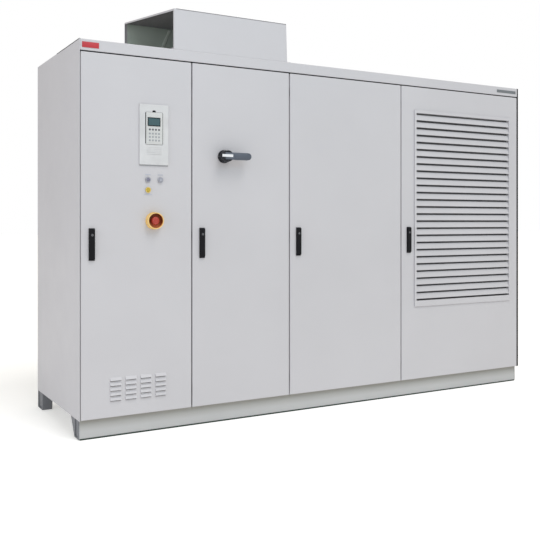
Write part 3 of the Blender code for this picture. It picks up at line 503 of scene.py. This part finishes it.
def pilot_device_details():
    """Blank label plates and the rings round the three buttons."""
    left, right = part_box("pushbutton_left"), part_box("pushbutton_right")
    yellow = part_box("pushbutton_yellow")

    def centre(corners):
        return (corners[0].x + corners[1].x) / 2, (corners[0].z + corners[1].z) / 2

    plates = (
        ("label_plate_left", centre(left), 0.0265, 0.0290, 0.0050),
        ("label_plate_right", centre(right), 0.0265, 0.0290, 0.0050),
        ("label_plate_lower", centre(yellow), -0.0235, 0.0440, 0.0052),
    )
    for name, (x, z), rise, width, height in plates:
        bm = bmesh.new()
        low = (x - width / 2, FRONT - 0.0011, z + rise - height / 2)
        high = (x + width / 2, FRONT - GAP, z + rise + height / 2)
        new_block(bm, low, high, 0.0003, 1)
        add_piece(name, bm, "door_control", "panel_plastic", material=LABEL_GREY)
    for name, corners in (("left", left), ("right", right), ("yellow", yellow)):
        x, z = centre(corners)
        inner = (corners[1].x - corners[0].x) / 2 + 0.0006
        bm = bmesh.new()
        profile = ((RING_OUTER, 0.0053), (RING_OUTER, RING_REACH - 0.0010),
                   (RING_OUTER - 0.0010, RING_REACH),
                   (inner + 0.0006, RING_REACH), (inner, RING_REACH - 0.0006), (inner, 0.0053))
        new_turned(bm, x, z, profile, 36, closed=True)
        ring = ("cap_yellow", RING_YELLOW) if name == "yellow" else ("contact_block", RING_GREY)
        add_piece(f"pilot_ring_{name}", bm, "door_control", ring[0], material=ring[1])


def emergency_stop_details():
    """A cup inside the guard ring painted with the guard's shading, and the raised ring on the head."""
    low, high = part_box("estop_collar")
    x, z = (low.x + high.x) / 2, (low.z + high.z) / 2
    bm = bmesh.new()
    profile = ((0.0383, 0.0334), (0.0383, 0.0068), (0.0120, 0.0068), (0.0120, 0.0078), (0.0368, 0.0078),
               (0.0374, 0.0334))
    # Dark cup that stands in for the shade inside the yellow guard.
    new_turned(bm, x, z, profile, 56, closed=True)
    add_piece("estop_well_painted_shading", bm, "door_control", "estop_red", material=ESTOP_WELL_SHADING)
    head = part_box("estop_mushroom")[0].y
    bm = bmesh.new()
    ahead = FRONT - head
    profile = ((0.0118, ahead + 0.0001), (0.0128, ahead + 0.0007), (0.0156, ahead + 0.0007),
               (0.0166, ahead - 0.0002),
               (0.0150, ahead - 0.0012), (0.0128, ahead - 0.0012))
    new_turned(bm, x, z, profile, 48, closed=True)
    add_piece("estop_head_ring", bm, "estop_mushroom", "estop_red")


def handle_details(door):
    """Lock cylinder and grip ridges of one swing handle."""
    low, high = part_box(f"handle_lever_{door}")
    x = (low.x + high.x) / 2
    front = FRONT - low.y
    bm = bmesh.new()
    z = high.z - 0.030
    profile = ((0, front - 0.0010), (0.0066, front - 0.0010), (0.0066, front + 0.0004),
               (0.0058, front + 0.0010),
               (0.0036, front + 0.0010), (0.0033, front + 0.0004), (0, front + 0.0004))
    new_turned(bm, x, z, profile, 28)
    new_block(bm, (x - 0.0006, FRONT - front - 0.0008, z - 0.0027),
              (x + 0.0006, FRONT - front - 0.0001, z + 0.0027), 0.0001, 1)
    add_piece(f"lock_cylinder_{door}", bm, f"handle_{door}", "bright_steel", material=LOCK_STEEL)
    bm = bmesh.new()
    z = high.z - 0.054
    profile = ((0, front - 0.0010), (0.0030, front - 0.0010), (0.0030, front + 0.0002),
               (0.0022, front + 0.0006), (0, front + 0.0007))
    new_turned(bm, x, z, profile, 20)
    for rise in (0.014, 0.018, 0.022):
        base = low.z + rise
        new_block(bm, (low.x + 0.004, low.y - 0.0006, base),
                  (high.x - 0.004, low.y + 0.0012, base + 0.0016), 0.0005, 1)
    add_piece(f"handle_grip_{door}", bm, f"handle_{door}", "handle_black")


def isolator_details():
    """Hub cover, blank plate, lever heel and pad, and the two position marks."""
    low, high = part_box("isolator_handle")
    shaft_low, shaft_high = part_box("isolator_shaft")
    x, z = (shaft_low.x + shaft_high.x) / 2, (shaft_low.z + shaft_high.z) / 2
    bm = bmesh.new()
    profile = ((0.0313, 0.0128), (0.0323, 0.0128), (0.0323, 0.0300), (0.0303, 0.0622), (0.0288, 0.0642),
               (0, 0.0642))
    inside = ((0, 0.0634), (0.0286, 0.0634), (0.0313, 0.0300))
    new_turned(bm, x, z, profile + inside, 48, closed=True)
    add_piece("isolator_hub_cover", bm, "isolator_handle", "isolator_black")
    lever = low.y
    bm = bmesh.new()
    new_block(bm, (x - 0.040, lever - 0.0012, z - 0.0060), (x + 0.024, lever - 0.0002, z + 0.0085),
              0.0004, 1)
    add_piece("isolator_name_plate", bm, "isolator_handle", "panel_plastic", material=PLATE_WHITE)
    bm = bmesh.new()
    new_block(bm, (x - 0.0450, lever - 0.0002, z - 0.0185), (x - 0.0180, lever + 0.0140, z + 0.0185),
              0.0060, 3)
    add_piece("isolator_lever_heel", bm, "isolator_handle", "isolator_black")
    bm = bmesh.new()
    new_block(bm, (x + 0.036, lever - 0.0016, z - 0.0120), (high.x - 0.010, lever + 0.0010, z + 0.0120),
              0.0011, 2)
    add_piece("isolator_lever_pad", bm, "isolator_handle", "isolator_slate")
    bm = bmesh.new()
    for angle in (math.pi / 2, math.pi):
        across, up = math.cos(angle), math.sin(angle)
        cx, cz = x + 0.0342 * across, z + 0.0342 * up
        half = (0.0009, 0.0017) if abs(up) > 0.5 else (0.0017, 0.0009)
        new_block(bm, (cx - half[0], FRONT - 0.0126, cz - half[1]),
                  (cx + half[0], FRONT - 0.0118, cz + half[1]), 0.0002, 1)
    add_piece("isolator_marks", bm, "door_isolator", "panel_plastic")


def fascia_details():
    """Blank badge and blank plate at the ends of the top rail."""
    bm = bmesh.new()
    new_block(bm, (LEFT + 0.0130, FRONT - 0.0024, 1.9620), (LEFT + 0.0980, FRONT - GAP, 1.9905), 0.0008,
              2)
    add_piece("fascia_badge", bm, "cabinet", "estop_red", material=BADGE_RED)
    bm = bmesh.new()
    new_block(bm, (1.3080, FRONT - 0.0018, 1.9660), (1.4800, FRONT - GAP, 1.9850), 0.0005, 1)
    add_piece("fascia_plate", bm, "cabinet", "switch_moulding", material=PLATE_DARK)


def seals():
    """Dark pieces that paint the shade in the right corner gap, at the foot of the plinth, behind the fascia
    gap and along the roof edges, and the gasket round each door opening.
    """
    # Painted shade: a black strip in the gap between the right door and the side.
    bm = bmesh.new()
    outline = ((-0.0034, -0.0012), (0.0034, -0.0012), (0.0034, 0.0100), (0.0003, 0.0100),
               (0.0003, -0.0002),
               (-0.0027, -0.0002), (-0.0027, 0.0100), (-0.0034, 0.0100))
    new_extrusion(bm, outline, lambda a, b, c: (RIGHT + a, FRONT + b, 0.1040 + c), TOP - 0.1060)
    add_piece("corner_gap_shade_right", bm, "cabinet", "handle_black")
    web_low, web_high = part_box("plinth_front")
    face = web_low.y
    # Painted shadow: a dark green strip along the foot of the plinth for its contact shadow on the floor.
    bm = bmesh.new()
    new_block(bm, (web_low.x + 0.001, face - 0.0020, 0.0004),
              (web_high.x - 0.001, face - 0.0002, 0.0078), 0.0005, 1)
    add_piece("plinth_foot_shadow_strip", bm, "cabinet", "handle_black", material=PLINTH_FOOT_SHADOW)
    # Painted shade: a black block behind the gap between the door tops and the fascia.
    bm = bmesh.new()
    door_top, fascia_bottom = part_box("door_control")[1].z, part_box("fascia")[0].z
    low = (LEFT + 0.0060, FRONT + 0.0035, door_top + 0.0009)
    new_block(bm, low, (RIGHT - 0.0060, FRONT + 0.0200, fascia_bottom - 0.0003), 0.0)
    add_piece("fascia_gap_shade", bm, "cabinet", "handle_black")
    # Painted shade: black strips along the front half of the roof's side edges, for the shaded edge of the
    # roof.
    bm = bmesh.new()
    new_block(bm, (LEFT - 0.0008, FRONT + 0.002, TOP - 0.0030),
              (LEFT + 0.0050, FRONT + 0.445, TOP + 0.0008), 0.0004, 1)
    new_block(bm, (RIGHT - 0.0050, FRONT + 0.002, TOP - 0.0030),
              (RIGHT + 0.0008, FRONT + 0.445, TOP + 0.0008), 0.0004, 1)
    add_piece("roof_edge_shade", bm, "cabinet", "handle_black")
    for door in DOORS:
        low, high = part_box(f"door_{door}")
        inset = (low.x + 0.0140, FRONT + 0.0276, low.z + 0.0140), (high.x - 0.0150, FRONT + 0.0337,
                                                                   high.z - 0.0140)
        bm = bmesh.new()
        new_window(bm, inset[0], inset[1], (0.0070, 0.0070), 0.0012)
        add_piece(f"frame_gasket_{door}", bm, "cabinet", "handle_black")


def hood_details():
    """Lining of the hood at its back, and a near-black sheet of painted shade under its sloping roof."""
    low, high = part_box("exhaust_hood")
    bm = bmesh.new()
    new_block(bm, (low.x + 0.0175, high.y - HOOD_WALL - 0.0012, TOP + 0.0012),
              (high.x - 0.0110, high.y - HOOD_WALL, TOP + HOOD_BACK_RISE - 0.0060), 0.0)
    add_piece("hood_back_liner", bm, "cabinet", "galvanised_sheet", material=LINER_GREEN)
    # Painted shade: a near-black sheet under the hood's roof.
    bm = bmesh.new()
    ends = (low.y + HOOD_WALL + 0.001, high.y - HOOD_WALL - 0.0016)
    slope = (HOOD_BACK_RISE - HOOD_FRONT_RISE) / (high.y - low.y)

    def ceiling(y, drop):
        return TOP + HOOD_FRONT_RISE + slope * (y - low.y) - drop

    outline = ((ends[0], ceiling(ends[0], 0.0032)), (ends[1], ceiling(ends[1], 0.0032)),
               (ends[1], ceiling(ends[1], 0.0072)), (ends[0], ceiling(ends[0], 0.0072)))
    new_extrusion(bm, outline, lambda a, b, c: (low.x + 0.0175 + c, a, b), high.x - low.x - 0.0310)
    add_piece("hood_roof_shade_sheet", bm, "cabinet", "filter_fleece", material=HOOD_CEILING_SHADE)


SCREW = ((0, 0.0011), (0.0021, 0.0011), (0.0023, 0.0025), (0.0040, 0.0024), (0.0056, 0.0012),
         (0.0058, -0.0004), (0, -0.0004))
RIVET = ((0, 0.0024), (0.0022, 0.0021), (0.0040, 0.0010), (0.0043, -0.0004), (0, -0.0004))


def rear_details():
    """Cover strips over the joints of the rear and their screws."""
    bm = bmesh.new()
    for x in SEAMS:
        new_block(bm, (x - 0.020, BACK + 0.0002, 0.1100), (x + 0.020, BACK + 0.0020, TOP - 0.0080),
                  0.0008, 1)
    add_piece("rear_joint_strips", bm, "cabinet", slot_of["rear_panel"])
    bm = bmesh.new()
    columns = [LEFT + 0.022, *(x + side * 0.034 for x in SEAMS for side in (-1, 1)), RIGHT - 0.022]
    for x in columns:
        for step in range(SCREWS_IN_COLUMN):
            z = 0.150 + SCREW_PITCH * step

            def on_rear(a, b, ahead, x=x, z=z):
                return (x + a, BACK + ahead, z + b)

            new_turned(bm, x, z, SCREW, 14, place=on_rear)
    add_piece("rear_screws", bm, "cabinet", "bright_steel")


def roof_details():
    """Flange of the hood with rivets, plugs over the lifting points and the fan guard."""
    low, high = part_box("exhaust_hood")
    bm = bmesh.new()
    new_block(bm, (low.x, high.y + 0.0002, TOP + 0.0004),
              (high.x + 0.024, high.y + 0.0250, TOP + 0.0020), 0.0004, 1)
    new_block(bm, (high.x + 0.0002, low.y + 0.004, TOP + 0.0004),
              (high.x + 0.024, high.y + 0.0002, TOP + 0.0020), 0.0004, 1)
    add_piece("hood_flange", bm, "cabinet", slot_of["exhaust_hood"])
    bm = bmesh.new()
    spots = [(low.x + 0.030 + 0.0897 * step, high.y + 0.0140) for step in range(RIVETS_IN_ROW)]
    spots += [(high.x + 0.0130, low.y + 0.050 + 0.1030 * step) for step in range(RIVETS_IN_ROW)]
    for x, y in spots:

        def on_roof(a, b, ahead, x=x, y=y):
            return (x + a, y + b, TOP + 0.0020 + ahead)

        new_turned(bm, x, y, RIVET, 12, place=on_roof)
    add_piece("hood_flange_rivets", bm, "cabinet", "bright_steel")
    bm = bmesh.new()
    plug = ((0, 0.0016), (0.0070, 0.0018), (0.0130, 0.0014), (0.0145, 0.0002), (0.0145, -0.0008),
            (0, -0.0008))
    for x in (LEFT + 0.070, LEFT + 0.440, LEFT + 1.260, LEFT + 1.940, LEFT + 2.060, RIGHT - 0.070):
        for y in (FRONT + 0.120, BACK - 0.060):

            def on_top(a, b, ahead, x=x, y=y):
                return (x + a, y + b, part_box("roof_panel")[1].z + 0.0006 + ahead)

            new_turned(bm, x, y, plug, 24, place=on_top)
    add_piece("lifting_point_plugs", bm, "cabinet", "handle_black")
    bm = bmesh.new()
    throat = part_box("fan_impeller")
    fan_x, fan_y = (throat[0].x + throat[1].x) / 2, (throat[0].y + throat[1].y) / 2
    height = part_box("roof_panel")[1].z + 0.0026
    for ring in range(GUARD_RINGS):
        radius = 0.048 + 0.0345 * ring
        wire = []
        for turn in range(6):
            angle = turn * math.pi / 3
            wire.append((radius + GUARD_WIRE * math.cos(angle), GUARD_WIRE * math.sin(angle)))

        def round_fan(a, b, ahead):
            return (fan_x + a, fan_y + b, height + ahead)

        new_turned(bm, fan_x, fan_y, wire, 56, closed=True, place=round_fan)
    for x_half, y_half in ((0.238, 0.0022), (0.0022, 0.238)):
        new_block(bm, (fan_x - x_half, fan_y - y_half, height - 0.0030),
                  (fan_x + x_half, fan_y + y_half, height - 0.0005), 0.0005, 1)
    add_piece("fan_guard", bm, "cabinet", "bright_steel")


def hood_brace():
    """Edge seal and inner brace of the hood."""
    low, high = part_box("exhaust_hood")
    bm = bmesh.new()
    ridge = TOP + HOOD_FRONT_RISE
    new_block(bm, (low.x + 0.012, low.y - 0.0012, ridge - 0.0024),
              (high.x - 0.010, low.y - 0.0003, ridge - 0.0004), 0.0)
    add_piece("hood_edge_seal", bm, "cabinet", "handle_black", material=EDGE_GREY)
    bm = bmesh.new()
    outline = ((low.x + 0.166, TOP + 0.004), (low.x + 0.182, TOP + 0.004), (low.x + 0.298, TOP + 0.294),
               (low.x + 0.284, TOP + 0.298))
    new_extrusion(bm, outline, lambda a, b, c: (a, high.y - 0.0046 - c, b), 0.0028)
    add_piece("hood_back_brace", bm, "cabinet", "galvanised_sheet", material=BRACE_GREEN)


def interior_details():
    """Door stiffeners, document pocket and terminal blocks."""
    for door, heights in (("isolator", (0.560,)), ("inverter", (0.560, 1.020, 1.480))):
        low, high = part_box(f"door_{door}")
        for number, z in enumerate(heights):
            rail = ((-0.030, 0.0024), (0.030, 0.0024), (0.030, 0.0038), (0.0186, 0.0038),
                    (0.0140, 0.0160), (-0.0140, 0.0160),
                    (-0.0186, 0.0038), (-0.030, 0.0038))
            start = low.x + 0.060
            bm = bmesh.new()
            new_extrusion(bm, rail, lambda a, b, c, z=z, start=start: (start + c, FRONT + b, z + a),
                          high.x - low.x - 0.115)
            add_piece(f"stiffener_{door}_{number + 1}", bm, f"door_{door}", slot_of[f"door_{door}"])
    bm = bmesh.new()
    x, y, z = LEFT + 0.330, FRONT + 0.0024, 0.420
    new_block(bm, (x - 0.130, y, z), (x + 0.130, y + 0.0030, z + 0.230), 0.0008, 1)
    new_block(bm, (x - 0.130, y, z), (x + 0.130, y + 0.0340, z + 0.0030), 0.0008, 1)
    new_block(bm, (x - 0.130, y, z), (x - 0.127, y + 0.0340, z + 0.190), 0.0008, 1)
    new_block(bm, (x + 0.127, y, z), (x + 0.130, y + 0.0340, z + 0.190), 0.0008, 1)
    new_block(bm, (x - 0.130, y + 0.0310, z), (x + 0.130, y + 0.0340, z + 0.175), 0.0008, 1)
    add_piece("document_pocket", bm, "door_control", "module_grey")
    strip_low, strip_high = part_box("terminal_strip")
    bm = bmesh.new()
    pitch = (strip_high.x - strip_low.x - 0.012) / TERMINALS
    middle = (strip_low.z + strip_high.z) / 2
    for index in range(TERMINALS):
        x = strip_low.x + 0.006 + pitch * (index + 0.5)
        low = (x - pitch * 0.42, strip_low.y - 0.0060, strip_low.z + 0.004)
        new_block(bm, low, (x + pitch * 0.42, strip_low.y - 0.0002, middle - 0.004), 0.0008, 1)
        low = (x - pitch * 0.42, strip_low.y - 0.0060, middle + 0.004)
        new_block(bm, low, (x + pitch * 0.42, strip_low.y - 0.0002, strip_high.z - 0.004), 0.0008, 1)
    add_piece("terminal_blocks", bm, "cabinet", "terminal_beige")


LABEL_GREY = moulded_plastic("label_grey", (0.46, 0.47, 0.53), 0.5, edge_highlight_gain=1.1)
RING_GREY = moulded_plastic("ring_grey", (0.37, 0.37, 0.42), 0.35, edge_highlight_gain=1.2)
RING_YELLOW = moulded_plastic("ring_yellow", (0.70, 0.50, 0.10), 0.35, edge_highlight_gain=1.2)
# Painted contact shadow along the foot of the plinth.
PLINTH_FOOT_SHADOW = moulded_plastic("plinth_foot_shadow", (0.030, 0.045, 0.036), 0.6, shine=0.2)
LOCK_STEEL = bare_metal("lock_steel", (0.13, 0.13, 0.14), 0.5, metallic=0.6)
# Painted shading in the guard well: dark brown for the guard's shadow in the upper part, lighter orange for
# the lit lower part.
ESTOP_WELL_SHADING = moulded_plastic("estop_well_shading", (0.30, 0.060, 0.010), 0.5, edge_highlight_gain=1.2, lower=(0.72, 0.24, 0.09))
PLATE_WHITE = moulded_plastic("plate_white", (0.80, 0.80, 0.82), 0.4, edge_highlight_gain=1.05)
PLATE_DARK = moulded_plastic("plate_dark", (0.17, 0.18, 0.19), 0.45)
BADGE_RED = moulded_plastic("badge_red", (0.50, 0.035, 0.045), 0.4, edge_highlight_gain=1.1)
LINER_GREEN = powder_coat("liner_green", (0.56, 0.64, 0.56), 0.55)
EDGE_GREY = moulded_plastic("edge_grey", (0.10, 0.10, 0.11), 0.5, shine=0.2)
BRACE_GREEN = powder_coat("brace_green", (0.80, 0.88, 0.78), 0.5)
# Painted shade: near-black, for the shaded ceiling inside the hood.
HOOD_CEILING_SHADE = fleece("hood_ceiling_shade", (0.008, 0.010, 0.008))

operator_panel_details()
pilot_device_details()
emergency_stop_details()
for door_name in DOORS:
    handle_details(door_name)
isolator_details()
fascia_details()
seals()
hood_details()
hood_brace()
rear_details()
roof_details()
interior_details()
